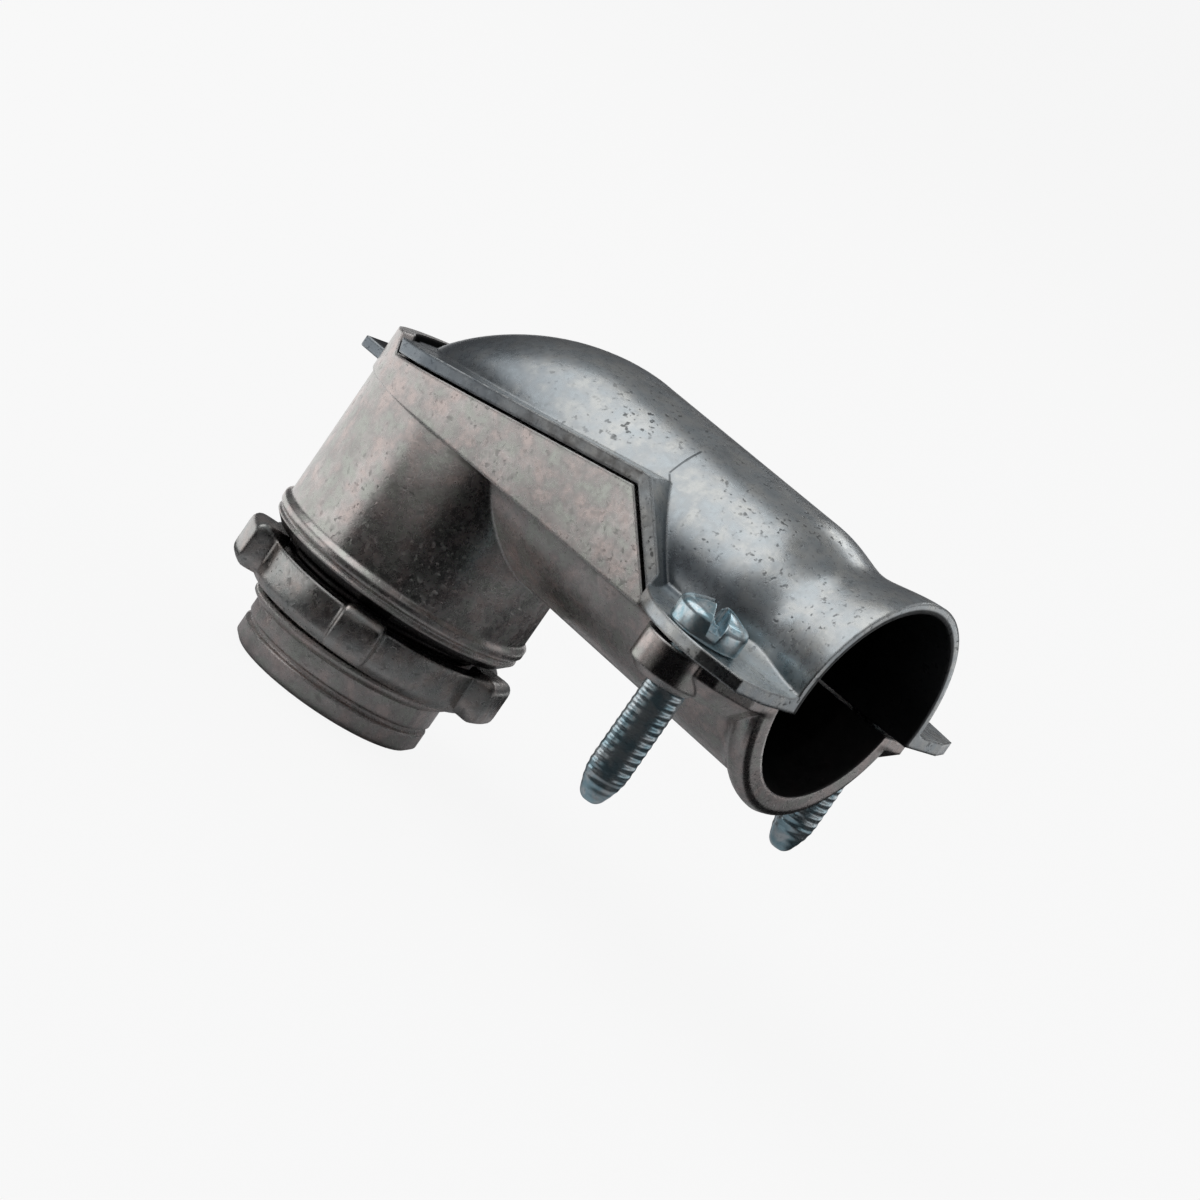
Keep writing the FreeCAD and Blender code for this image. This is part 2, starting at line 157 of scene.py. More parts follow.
class Link:
    """A shader socket: Python's operators on it add Math nodes, and add() makes any other node."""

    def __init__(self, tree, socket=None):
        self.tree = tree
        self.socket = socket

    def add(self, kind, settings=None, sockets=None, out=0):
        """Makes a node: its settings first, then the values or links of its sockets; returns one
        output."""
        node = self.tree.nodes.new(kind)
        for name, value in (settings or {}).items():
            setattr(node, name, value)
        for name, value in (sockets or {}).items():
            if isinstance(value, Link):
                self.tree.links.new(value.socket, node.inputs[name])
            else:
                node.inputs[name].default_value = value
        return Link(self.tree, node.outputs[out] if len(node.outputs) else None)

    def output(self, name):
        """Another output of the same node."""
        return Link(self.tree, self.socket.node.outputs[name])

    def math(self, operation, first, second=0.0):
        return self.add("ShaderNodeMath", {"operation": operation}, {0: first, 1: second})

    def __add__(self, other):
        return self.math("ADD", self, other)

    def __radd__(self, other):
        return self.math("ADD", other, self)

    def __sub__(self, other):
        return self.math("SUBTRACT", self, other)

    def __rsub__(self, other):
        return self.math("SUBTRACT", other, self)

    def __mul__(self, other):
        return self.math("MULTIPLY", self, other)

    def __rmul__(self, other):
        return self.math("MULTIPLY", other, self)

    def __truediv__(self, other):
        return self.math("DIVIDE", self, other)

    def __rtruediv__(self, other):
        return self.math("DIVIDE", other, self)

    def __pow__(self, other):
        return self.math("POWER", self, other)

    def __neg__(self):
        return self.math("MULTIPLY", self, -1.0)

    def __abs__(self):
        return self.math("ABSOLUTE", self)

    def ramp(self, low, high):
        """0 at low, 1 at high, smooth between."""
        settings = {"interpolation_type": "SMOOTHSTEP"}
        return self.add("ShaderNodeMapRange", settings, {"Value": self, "From Min": low, "From Max": high})

    def noise(self, scale, detail=3.0, roughness=0.55, distortion=0.0):
        """Cloudy noise over this vector, scale in cycles per unit."""
        sockets = {"Vector": self, "Scale": scale, "Detail": detail, "Roughness": roughness}
        sockets["Distortion"] = distortion
        return self.add("ShaderNodeTexNoise", {"noise_dimensions": "3D"}, sockets)

    def tint(self, first, second):
        """Colour that goes from first to second as this value goes from 0 to 1."""
        settings = {"data_type": "RGBA", "clamp_factor": True}
        return self.add("ShaderNodeMix", settings, {0: self, 6: first, 7: second}, out=2)

    def moved(self, offset):
        """This vector plus a fixed offset."""
        return self.add("ShaderNodeVectorMath", {"operation": "ADD"}, {0: self, 1: offset})

    def stretched(self, factors):
        """This vector times a fixed factor along each axis."""
        return self.add("ShaderNodeVectorMath", {"operation": "MULTIPLY"}, {0: self, 1: factors})

    def dot(self, other):
        """Dot product of this vector with another."""
        settings = {"operation": "DOT_PRODUCT"}
        return self.add("ShaderNodeVectorMath", settings, {0: self, 1: other}, out="Value")


def shade(red, green, blue):
    """A colour from its sRGB values, 0 to 255, as linear light."""
    parts = np.array([red, green, blue]) / 255.0
    linear = np.where(parts <= 0.04045, parts / 12.92, ((parts + 0.055) / 1.055) ** 2.4)
    return (*(float(value) for value in linear), 1.0)


# Tones of the marks on the castings and of the shade painted on them
PIT_TONE = shade(46, 48, 52)
SEAM_DARK_AND_CREASE_SHADE_TONE = shade(72, 67, 64)
FLOW_TONE = shade(70, 74, 78)
HOOD_SHADE_TONE = shade(112, 121, 129)
RUBBED_TONE = shade(214, 216, 216)
INSIDE_SHADE_TONE = shade(34, 34, 36)
CREVICE_SHADE_TONE = shade(24, 24, 28)

# Tones of the screws' plating
PLATE_BLUE = shade(178, 212, 224)
PLATE_WHITE = shade(232, 242, 246)
DRAWN_TONE = shade(146, 168, 182)
PINHOLE_TONE = shade(60, 74, 84)

# Tones of the floor, and the share of plain white where it is seen
FLOOR_TONES = (shade(236, 236, 236), shade(242, 242, 242))
FLOOR_GLOW = 0.9

# Tones of the card
CARD_FIBRE = (shade(228, 228, 231), shade(236, 236, 238))
CARD_BLACK = shade(8, 8, 14)
CARD_GREY = shade(58, 56, 58)
CARD_LIGHT = shade(240, 236, 233)
CARD_FAR = shade(236, 236, 238)

# Tones of the studio's walls, level with the eye and overhead
STUDIO_TONES = (shade(80, 80, 82), shade(132, 133, 134))


def new_material(name):
    """An empty node material, its first Link, and a function that ends it in a Principled shader."""
    material = bpy.data.materials.new(name)
    material.use_nodes = True
    material.node_tree.nodes.clear()
    start = Link(material.node_tree)

    def finish(**sockets):
        named = {key.replace("_", " "): value for key, value in sockets.items()}
        shader = start.add("ShaderNodeBsdfPrincipled", {}, named)
        start.add("ShaderNodeOutputMaterial", {}, {"Surface": shader})
        return material

    return start, finish


def millimetres(start):
    """Object coordinates, in millimetres."""
    place = start.add("ShaderNodeTexCoord", out="Object")
    return start.add("ShaderNodeVectorMath", {"operation": "SCALE"}, {0: place, "Scale": 1.0 / MM})


def inner_faces(place, normal):
    """1 on faces that look inwards to the conduit's axis or the hub's axis from close by, 0 elsewhere:
    the share of the face's direction that points back along the line from the axis. The mouth's inner
    edge counts too."""
    axes = place.add("ShaderNodeSeparateXYZ", {}, {0: place})
    x, y, z = axes, axes.output("Y"), axes.output("Z") - CONDUIT_HEIGHT
    turn = place.add("ShaderNodeSeparateXYZ", {}, {0: normal})
    nx, ny, nz = turn, turn.output("Y"), turn.output("Z")
    from_conduit = (y * y + z * z) ** 0.5
    to_conduit = -(y * ny + z * nz) / from_conduit
    from_hub = (x * x + y * y) ** 0.5
    to_hub = -(x * nx + y * ny) / from_hub
    in_conduit = to_conduit.ramp(0.35, 0.6) * (1.0 - from_conduit.ramp(*WAY_WALL))
    in_hub = to_hub.ramp(0.35, 0.6) * (1.0 - from_hub.ramp(CHAMBER_RADIUS + 0.1, CHAMBER_RADIUS + 0.3))
    near_edge = 1.0 - from_conduit.ramp(INNER_EDGE - 0.15, INNER_EDGE + 0.1)
    inner_edge = nx.ramp(0.8, 0.95) * near_edge * x.ramp(*MOUTH_FACE)
    inside = in_conduit.math("MAXIMUM", in_conduit, in_hub)
    return inside.math("MAXIMUM", inside, inner_edge)


def crevice(place):
    """1 in the groove between the collar's edge and the locknut's top, where shade is painted, 0
    elsewhere, going by height alone."""
    height = place.add("ShaderNodeSeparateXYZ", {}, {0: place}).output("Z")
    above_nut = height.ramp(NUT_TOP - 0.2, NUT_TOP + 0.1)
    return above_nut * (1.0 - height.ramp(COLLAR_EDGE - 0.15, COLLAR_EDGE + 0.1))


def cast_zinc(name, pale, deep, warm, cool, speck, rough, seed, marks=None, groove=False):
    """As-cast zinc: cloudy patches of a pale and a deep grey with warm and cool tints in the grain, dark
    pits, darker bands along the parting line, painted shade in the crease under the ledge below them,
    edges rubbed bright, and painted shade on the inside and on the mouth's inner edge. marks draws the
    cover's flow line, and brings painted shade on the hood's nose and a painted dark reflection along its
    foot with it. groove paints shade into the crevice at the collar."""
    start, finish = new_material(name)
    place = millimetres(start)
    shifted = place.moved((seed, 2.0 * seed, -seed))
    patch = shifted.noise(0.13, 3.0, 0.55, 0.3)
    cloud = shifted.noise(0.45, 4.0, 0.62)
    grain = shifted.noise(1.7, 3.0, 0.62)
    fine = shifted.noise(5.5, 2.0, 0.55)
    hue = shifted.moved((40.0, 7.0, 13.0)).noise(0.55, 2.5, 0.5)
    pits = shifted.moved((9.0, 31.0, 5.0)).noise(1.8, 2.0, 0.5)
    pits = pits.ramp(0.60, 0.70) * patch.ramp(0.28, 0.66)
    tone = (patch * 0.40 + cloud * 0.35 + grain * 0.25).ramp(0.38, 0.62)
    base = tone.tint(deep, pale)
    base = (hue.ramp(0.46, 0.70) * 0.8).tint(base, warm)
    base = (hue.ramp(0.54, 0.30) * 0.8).tint(base, cool)
    base = (grain.ramp(0.48, 0.66) * 0.45).tint(base, deep)
    base = (fine.ramp(0.54, 0.70) * 0.2).tint(base, deep)
    base = (pits * speck).tint(base, PIT_TONE)
    # Darker bands along the parting line, and painted shade in the crease under the ledge
    base = (seam_dark_and_crease_shade(place) * 0.85).tint(base, SEAM_DARK_AND_CREASE_SHADE_TONE)
    line = marks(place) if marks else None
    if line:
        base = (line * 0.75).tint(base, FLOW_TONE)
        # Painted shade on the hood's nose and a painted dark reflection along its foot by the ear
        base = (hood_painted_shade(place) * (0.55 + patch.ramp(0.4, 0.6) * 0.25)).tint(base, HOOD_SHADE_TONE)
    soft = start.add("ShaderNodeBevel", {"samples": 6}, {"Radius": 0.4 * MM})
    true = start.add("ShaderNodeNewGeometry", out="Normal")
    rubbed = (1.0 - soft.dot(true)).ramp(0.015, 0.16) * grain.ramp(0.30, 0.58)
    base = (rubbed * 0.45).tint(base, RUBBED_TONE)
    inside = inner_faces(place, true)
    # Painted shade on faces inside the conduit and the hub and on the mouth's inner edge
    base = (inside * 0.9).tint(base, INSIDE_SHADE_TONE)
    # Painted shade in the groove between the collar's edge and the locknut
    if groove:
        base = (crevice(place) * 0.9).tint(base, CREVICE_SHADE_TONE)
    height = cloud * 0.5 + grain * 0.45 + fine * 0.16 - pits * 0.8
    if line:
        height = height - line * 0.8
    sockets = {"Strength": 0.3, "Distance": 0.06 * MM, "Height": height, "Normal": soft}
    bump = start.add("ShaderNodeBump", {}, sockets)
    roughness = rough + (grain - 0.5) * 0.25 + (cloud - 0.5) * 0.15
    roughness = roughness + pits * 0.15 + inside * 0.2 - rubbed * 0.08
    return finish(Base_Color=base, Metallic=1.0, Roughness=roughness, Normal=bump)


def seam_dark_and_crease_shade(place):
    """1 in narrow bands along the parting line's gentle rise and steep ramp on the cheeks, and in the
    crease under the ledge below them, where shade is painted, weakened a little by noise."""
    axes = place.add("ShaderNodeSeparateXYZ", {}, {0: place})
    x, y, z = axes, axes.output("Y"), axes.output("Z")
    aside = abs(z - SEAM_HEIGHT - x * SEAM_SLOPE)
    cheek = abs(y).ramp(*CHEEK_SIDE)
    band = (1.0 - aside.ramp(*SEAM_BAND)) * cheek * (1.0 - x.ramp(*SEAM_END))
    slant = abs(x + z - RAMP_SUM)
    ramp = (1.0 - slant.ramp(*RAMP_BAND)) * cheek * z.ramp(*RAMP_FOOT) * x.ramp(*RAMP_HEAD) * 0.7
    crease = 1.0 - abs(z - LEDGE_HEIGHT + CREASE_DROP).ramp(*CREASE_BAND)
    # The crease under the ledge, where shade is painted
    under = crease * abs(y).ramp(*CREASE_SIDE) * x.ramp(*CREASE_START) * 0.8
    worst = band.math("MAXIMUM", band.math("MAXIMUM", band, ramp), under * (1.0 - cheek))
    return worst * (0.7 + place.noise(0.6, 3.0, 0.6).ramp(0.35, 0.65) * 0.3)


def hood_painted_shade(place):
    """1 on the hood's nose, where shade is painted, and along its foot by the ear, where a dark reflection
    is painted, fading to 0 on the barrel."""
    axes = place.add("ShaderNodeSeparateXYZ", {}, {0: place})
    x, y, z = axes, axes.output("Y"), axes.output("Z")
    nose = (1.0 - x.ramp(*NOSE_LENGTH)) * (1.0 - z.ramp(*NOSE_TOP) * 0.8)
    above = z - CONDUIT_HEIGHT
    from_conduit = (y * y + above * above) ** 0.5
    foot = (1.0 - z.ramp(*FOOT_TOP)) * x.ramp(*FOOT_START) * (1.0 - x.ramp(*FOOT_END))
    foot = foot * (1.0 - from_conduit.ramp(*FOOT_WALL))
    return nose.math("MAXIMUM", nose, foot)


def flow_mark(place):
    """1 along a faint L-shaped flow line on the hood's near side: two straight strokes over the length
    along the conduit and the arc round it."""
    axes = place.add("ShaderNodeSeparateXYZ", {}, {0: place})
    x, y, z = axes, axes.output("Y"), axes.output("Z") - CONDUIT_HEIGHT
    arc = y.math("ARCTAN2", -y, z) * HOOD_RADIUS
    marks = None
    for start, end in zip(FLOW_LINE[:-1], FLOW_LINE[1:]):
        run = (end[0] - start[0], end[1] - start[1])
        length = math.hypot(*run)
        along = ((x - start[0]) * run[0] + (arc - start[1]) * run[1]) / length
        aside = abs((x - start[0]) * run[1] - (arc - start[1]) * run[0]) / length
        stroke = (1.0 - aside.ramp(*FLOW_EDGE)) * along.ramp(-0.1, 0.1)
        stroke = stroke * (1.0 - along.ramp(length - 0.3, length + 0.1))
        marks = stroke if marks is None else marks.math("MAXIMUM", marks, stroke)
    return marks


def zinc_plate(name):
    """Bright blue-white zinc plating over a steel screw: cloudy blue tints, dark pinholes and fine
    drawing marks."""
    start, finish = new_material(name)
    place = millimetres(start)
    cloud = place.noise(0.8, 3.0, 0.6)
    drawn = place.stretched((2.0, 2.0, 9.0)).noise(1.0, 2.0, 0.5)
    fine = place.noise(4.5, 2.0, 0.5)
    base = cloud.ramp(0.36, 0.64).tint(PLATE_BLUE, PLATE_WHITE)
    base = (drawn.ramp(0.55, 0.75) * 0.4).tint(base, DRAWN_TONE)
    base = (fine.ramp(0.66, 0.74) * 0.6).tint(base, PINHOLE_TONE)
    soft = start.add("ShaderNodeBevel", {"samples": 6}, {"Radius": 0.12 * MM})
    height = drawn * 0.6 + fine * 0.4
    sockets = {"Strength": 0.2, "Distance": 0.02 * MM, "Height": height, "Normal": soft}
    bump = start.add("ShaderNodeBump", {}, sockets)
    roughness = 0.15 + cloud * 0.12 + drawn * 0.05
    return finish(Base_Color=base, Metallic=0.88, Roughness=roughness, Normal=bump)


def pale_floor():
    """Plain pale floor: matt paper whose tone drifts a little, held close to white for the camera and
    for what shines or lets light through."""
    start, _ = new_material("pale_floor")
    place = start.add("ShaderNodeTexCoord", out="Object")
    tone = place.noise(4.0, 2.0).tint(*FLOOR_TONES)
    matt = start.add("ShaderNodeBsdfDiffuse", {}, {"Color": tone})
    glow = start.add("ShaderNodeEmission", {}, {"Color": (1.0, 1.0, 1.0, 1.0), "Strength": 1.0})
    path = start.add("ShaderNodeLightPath", out="Is Camera Ray")
    seen = path.math("MAXIMUM", path, path.output("Is Glossy Ray"))
    seen = seen.math("MAXIMUM", seen, path.output("Is Transmission Ray"))
    both = start.add("ShaderNodeMixShader", {}, {0: seen * FLOOR_GLOW, 1: matt, 2: glow})
    start.add("ShaderNodeOutputMaterial", {}, {"Surface": both})
    return bpy.data.materials["pale_floor"]


def dark_card():
    """Matt card, pale where it lies close to the connector and furthest off, black between and where it
    stands, and at its standing left end dark grey that fades to pale towards the top. It has a faint
    fibre in it."""
    start, finish = new_material("dark_card")
    place = millimetres(start)
    axes = place.add("ShaderNodeSeparateXYZ", {}, {0: place})
    x, y, height = axes, axes.output("Y"), axes.output("Z") - FLOOR_LEVEL
    aside = x - VIEW_AIM[0]
    far = (aside * aside + y * y) ** 0.5
    standing = height.ramp(*CARD_STANDING)
    dark = far.math("MAXIMUM", standing, far.ramp(*CARD_DARK_FROM))
    turn = math.radians(CARD_TURN)
    along = x * math.cos(turn) + y * math.sin(turn)
    left = (1.0 - along.ramp(*CARD_LEFT_END)) * height.ramp(*CARD_LEFT_STANDING)
    off = far.ramp(*CARD_PALE_FROM) * (1.0 - standing)
    fade = height.ramp(*CARD_LEFT_FADE).tint(CARD_GREY, CARD_LIGHT)
    deep = left.tint(CARD_BLACK, fade)
    deep = off.tint(deep, CARD_FAR)
    tone = place.noise(0.06, 2.0).tint(*CARD_FIBRE)
    tone = dark.tint(tone, deep)
    return finish(Base_Color=tone, Roughness=0.95)


def surface(name, points, material, closed=True, first_pole=None, last_pole=None, looped=False):
    """A mesh from an (n, m, 3) array of points in millimetres: neighbours joined by quads, the second
    way closed into rings if asked, the first way too if looped, and a fan of triangles from the first or
    last ring to a pole. Faces are turned outwards by the sign of the volume that they enclose."""
    n, m, _ = points.shape
    index = np.arange(n * m).reshape(n, m)
    index = np.concatenate([index, index[:1]]) if looped else index
    near = index if closed else index[:, :-1]
    across = np.roll(index, -1, axis=1) if closed else index[:, 1:]
    quads = np.stack([near[:-1], across[:-1], across[1:], near[1:]], axis=-1).reshape(-1, 4)
    vertices = points.reshape(-1, 3)
    fans = []
    for pole, here, there in ((first_pole, across[0], near[0]), (last_pole, near[-1], across[-1])):
        if pole is not None:
            tip = np.full_like(here, len(vertices))
            vertices = np.concatenate([vertices, np.array([pole])])
            fans.append(np.stack([here, there, tip], axis=-1))
    triangles = np.concatenate([quads[:, [0, 1, 2]], quads[:, [0, 2, 3]]] + fans)
    a, b, c = (vertices[triangles[:, k]] for k in range(3))
    if np.einsum("ij,ij->i", a, np.cross(b, c)).sum() < 0.0:
        quads = quads[:, ::-1]
        fans = [fan[:, ::-1] for fan in fans]
    faces = quads.tolist()
    for fan in fans:
        faces += fan.tolist()
    mesh = bpy.data.meshes.new(name)
    mesh.from_pydata((vertices * MM).tolist(), [], faces)
    mesh.polygons.foreach_set("use_smooth", np.ones(len(faces), dtype=bool))
    mesh.materials.append(material)
    mesh.update()
    piece = bpy.data.objects.new(name, mesh)
    bpy.context.scene.collection.objects.link(piece)
    return piece


def step(value):
    """0 below 0, 1 above 1, smooth between."""
    value = np.clip(value, 0.0, 1.0)
    return value * value * (3.0 - 2.0 * value)


def rounded(corners, radii, steps=6):
    """A closed outline of (r, z) corners, each cut back by its radius along both sides and bridged by a
    parabola whose control point is the corner."""
    corner = np.array(corners)
    share = np.linspace(0.0, 1.0, steps)[None, :, None]
    cut = np.array(radii)[:, None]
    back = np.roll(corner, 1, axis=0) - corner
    ahead = np.roll(corner, -1, axis=0) - corner
    start = (corner + back * cut / np.linalg.norm(back, axis=1, keepdims=True))[:, None, :]
    end = (corner + ahead * cut / np.linalg.norm(ahead, axis=1, keepdims=True))[:, None, :]
    middle = corner[:, None, :]
    arc = start * (1.0 - share) ** 2 + 2.0 * middle * share * (1.0 - share) + end * share ** 2
    return arc.reshape(-1, 2)


def lugged_ring(name, material):
    """Locknut: a rounded ring outline and a rounded lug outline, both turned about the hub's axis. The
    section goes from the first to the second and back again, smoothly, within each lug's width."""
    plain = rounded([
        (NUT_BORE, NUT_BOTTOM),
        (NUT_RADIUS - NUT_CHAMFER, NUT_BOTTOM),
        (NUT_RADIUS, NUT_BOTTOM + NUT_CHAMFER),
        (NUT_RADIUS, NUT_LUG_BOTTOM + 1.4),
        (NUT_RADIUS, NUT_TOP),
        (0.5 * (NUT_RADIUS + NUT_LUG_ROOT), NUT_TOP),
        (NUT_LUG_ROOT, NUT_TOP),
        (NUT_BORE, NUT_TOP),
    ], (0.12, 0.25, 0.3, 0.2, 0.22, 0.1, 0.1, 0.12))
    lug = rounded([
        (NUT_BORE, NUT_BOTTOM),
        (NUT_RADIUS - NUT_CHAMFER, NUT_BOTTOM),
        (NUT_RADIUS - 0.3, NUT_LUG_BOTTOM),
        (NUT_LUG_RADIUS, NUT_LUG_BOTTOM),
        (NUT_LUG_RADIUS, NUT_LUG_TOP),
        (NUT_LUG_ROOT, NUT_LUG_TOP),
        (NUT_LUG_ROOT, NUT_TOP),
        (NUT_BORE, NUT_TOP),
    ], (0.12, 0.25, 0.25, 1.1, 1.1, 0.25, 0.12, 0.12))
    pitch = 2.0 * math.pi / NUT_LUGS
    edge = NUT_LUG_HALF_WIDTH / NUT_LUG_RADIUS
    foot = 1.35 * edge
    crown = 0.55 * edge
    turn = np.concatenate([
        np.linspace(-0.5 * pitch, -foot, 10, endpoint=False),
        np.linspace(-foot, -crown, 16, endpoint=False),
        np.linspace(-crown, crown, 6, endpoint=False),
        np.linspace(crown, foot, 16, endpoint=False),
        np.linspace(foot, 0.5 * pitch, 10, endpoint=False),
    ])
    here = step((1.12 * edge - np.abs(turn)) / (0.36 * edge))
    first = math.radians(NUT_LUG_FIRST)
    angle = (first + pitch * np.arange(NUT_LUGS)[:, None] + turn[None, :]).reshape(1, -1)
    share = np.tile(here, NUT_LUGS)[None, :]
    radius = plain[:, :1] + (lug[:, :1] - plain[:, :1]) * share
    z = plain[:, 1:] + (lug[:, 1:] - plain[:, 1:]) * share
    points = np.stack([radius * np.cos(angle), radius * np.sin(angle), z], axis=-1)
    return surface(name, points, material, looped=True)


def hub_thread_ridge(name, material):
    """The hub's cast thread as one ridge: a rounded trapezoid section carried along a helix that climbs
    one pitch a turn, from just under the core to the crest, swelling out of the core over its first half
    turn."""
    turns = (HUB_THREAD_TOP - HUB_THREAD_BOTTOM) / HUB_THREAD_PITCH
    angle = np.linspace(0.0, 2.0 * math.pi * turns, int(turns * HUB_POINTS_PER_TURN) + 1)
    height = HUB_THREAD_BOTTOM + HUB_THREAD_PITCH * angle / (2.0 * math.pi)
    sunk = HUB_CORE_RADIUS - HUB_THREAD_SINK
    swell = step(angle / math.pi)
    across = np.array([0.49, 0.40, 0.20, 0.13, 0.0, -0.13, -0.20, -0.40, -0.49]) * HUB_THREAD_PITCH
    rise = np.array([0.0, 0.22, 0.80, 0.96, 1.0, 0.96, 0.80, 0.22, 0.0])
    radius = sunk + (HUB_THREAD_CREST - sunk) * rise[None, :] * swell[:, None]
    x = radius * np.cos(angle)[:, None]
    y = radius * np.sin(angle)[:, None]
    z = height[:, None] + np.broadcast_to(across[None, :], radius.shape)
    points = np.stack([x, y, z], axis=-1)
    ends = points[[0, -1]].mean(axis=1)
    return surface(name, points, material, True, ends[0], ends[1])


def screw_shank(name, material, side):
    """Threaded shank: rings up the screw's axis, whose radius is the core's plus a rounded ridge that
    turns once a pitch. The ridge and the core both run down to the small rounded tip."""
    rows = int((SCREW_UNDER_HEAD - SCREW_TIP) / SCREW_THREAD_PITCH * SCREW_ROWS_PER_PITCH)
    end = SCREW_UNDER_HEAD + SCREW_HEAD_OVERLAP
    height = np.linspace(SCREW_TIP + SCREW_TIP_START, end, rows)[:, None]
    angle = np.linspace(0.0, 2.0 * math.pi, SCREW_SIDES, endpoint=False)[None, :]
    phase = (height / SCREW_THREAD_PITCH - angle / (2.0 * math.pi)) % 1.0
    ridge = 0.5 - 0.5 * np.cos(2.0 * math.pi * phase)
    up = (height - SCREW_TIP) / SCREW_TIP_LENGTH
    body = SCREW_TIP_RADIUS + (1.0 - SCREW_TIP_RADIUS) * np.sin(0.5 * math.pi * np.clip(up, 0.0, 1.0))
    blunt = np.sqrt(1.0 - (1.0 - np.clip(up / 0.18, 0.0, 1.0)) ** 2)
    core = SCREW_CORE_RADIUS * body * (0.45 + 0.55 * blunt)
    depth = (SCREW_CREST_RADIUS - SCREW_CORE_RADIUS) * step((up - 0.1) / 0.5)
    radius = core + depth * ridge
    x = SCREW_X + radius * np.cos(angle)
    y = side * SCREW_Y + radius * np.sin(angle)
    z = np.broadcast_to(height, radius.shape)
    tip = (SCREW_X, side * SCREW_Y, SCREW_TIP)
    top = (SCREW_X, side * SCREW_Y, end)
    return surface(name, np.stack([x, y, z], axis=-1), material, True, tip, top)


def screw_head(name, material, side):
    """Pan head: rings from the middle of the underside out, up the rounded side and in over a low dome.
    On the dome the height drops by the drive's depth inside a full slot and a short cross, with softened
    edges."""
    top = SCREW_UNDER_HEAD + SCREW_HEAD_HEIGHT
    under = np.array([0.5, 0.9]) * SCREW_HEAD_RADIUS
    turn = np.linspace(-0.5 * math.pi, 0.0, 5)
    low_r = SCREW_HEAD_RADIUS - HEAD_LOW_EDGE + HEAD_LOW_EDGE * np.cos(turn)
    low_z = SCREW_UNDER_HEAD + HEAD_LOW_EDGE + HEAD_LOW_EDGE * np.sin(turn)
    turn = np.linspace(0.0, 0.5 * math.pi, 12)
    shoulder = top - SCREW_CROWN - HEAD_TOP_EDGE
    high_r = SCREW_HEAD_RADIUS - HEAD_TOP_EDGE + HEAD_TOP_EDGE * np.cos(turn)
    high_z = shoulder + HEAD_TOP_EDGE * np.sin(turn)
    dome_r = np.linspace(1.0, 0.0, 64)[1:-1] * high_r[-1]
    dome_z = high_z[-1] + SCREW_CROWN * (1.0 - (dome_r / high_r[-1]) ** 2)
    radius = np.concatenate([under, low_r, high_r, dome_r])[:, None]
    level = np.concatenate([np.full(under.size, SCREW_UNDER_HEAD), low_z, high_z, dome_z])[:, None]
    angle = np.linspace(0.0, 2.0 * math.pi, HEAD_SIDES, endpoint=False)[None, :]
    across_slot = np.abs(radius * np.sin(angle))
    along_slot = np.abs(radius * np.cos(angle))
    half = 0.5 * DRIVE_SLOT_WIDTH
    reach = 0.5 * DRIVE_CROSS_LENGTH
    slot = 1.0 - step((across_slot - half + DRIVE_SOFT) / (2.0 * DRIVE_SOFT))
    arm = 1.0 - step((along_slot - half + DRIVE_SOFT) / (2.0 * DRIVE_SOFT))
    arm = arm * (1.0 - step((across_slot - reach + DRIVE_END_SOFT) / (2.0 * DRIVE_END_SOFT)))
    floor_level = top - DRIVE_SLOT_DEPTH
    drive = np.maximum(slot, arm)
    z = np.where(level > floor_level, level + (floor_level - level) * drive, level)
    turned = angle + math.radians(DRIVE_ANGLE)
    x = SCREW_X + radius * np.cos(turned)
    y = side * SCREW_Y + radius * np.sin(turned)
    points = np.stack(np.broadcast_arrays(x, y, z), axis=-1)
    first = (SCREW_X, side * SCREW_Y, SCREW_UNDER_HEAD)
    last = (SCREW_X, side * SCREW_Y, floor_level)
    return surface(name, points, material, True, first, last)


body_zinc = cast_zinc(
    "body_zinc",
    pale=shade(220, 214, 211),
    deep=shade(172, 168, 166),
    warm=shade(214, 199, 194),
    cool=shade(192, 196, 188),
    speck=0.15,
    rough=0.27,
    seed=3.0,
    groove=True,
)
cover_zinc = cast_zinc(
    "cover_zinc",
    pale=shade(208, 211, 211),
    deep=shade(176, 181, 184),
    warm=shade(206, 207, 204),
    cool=shade(188, 196, 200),
    speck=0.7,
    rough=0.29,
    seed=11.0,
    marks=flow_mark,
)
nut_zinc = cast_zinc(
    "nut_zinc",
    pale=shade(206, 203, 200),
    deep=shade(166, 164, 162),
    warm=shade(198, 186, 180),
    cool=shade(178, 182, 180),
    speck=0.3,
    rough=0.27,
    seed=23.0,
)
screw_plate = zinc_plate("screw_plate")

finishes = {
    "elbow_body": body_zinc,
    "clamp_cover": cover_zinc,
    "locknut": nut_zinc,
    "right_clamp_screw": screw_plate,
    "left_clamp_screw": screw_plate,
}
for node, finish in finishes.items():
    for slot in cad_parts[node].material_slots:
        slot.material = finish

hub_thread = hub_thread_ridge("hub_thread", body_zinc)
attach(hub_thread, "elbow")

nut_ring = lugged_ring("nut_ring", nut_zinc)
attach(nut_ring, "nut")
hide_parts("locknut")

for side, body in ((-1.0, "right_screw"), (1.0, "left_screw")):
    shank = screw_shank(body + "_shank", screw_plate, side)
    head = screw_head(body + "_head", screw_plate, side)
    node = body.replace("_screw", "_clamp_screw")
    for piece in (shank, head):
        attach(piece, body)
        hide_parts(node)


def floor_disc(radius):
    """A flat disc: rings of growing radius, each turned once round, from a pole in the middle."""
    distance = np.linspace(0.0, radius, 7)[1:, None]
    turn = np.linspace(0.0, 2.0 * math.pi, 64, endpoint=False)[None, :]
    rings = np.broadcast_arrays(distance * np.cos(turn), distance * np.sin(turn), FLOOR_LEVEL)
    return surface("floor", np.stack(rings, axis=-1), pale_floor(), True, (0.0, 0.0, FLOOR_LEVEL))


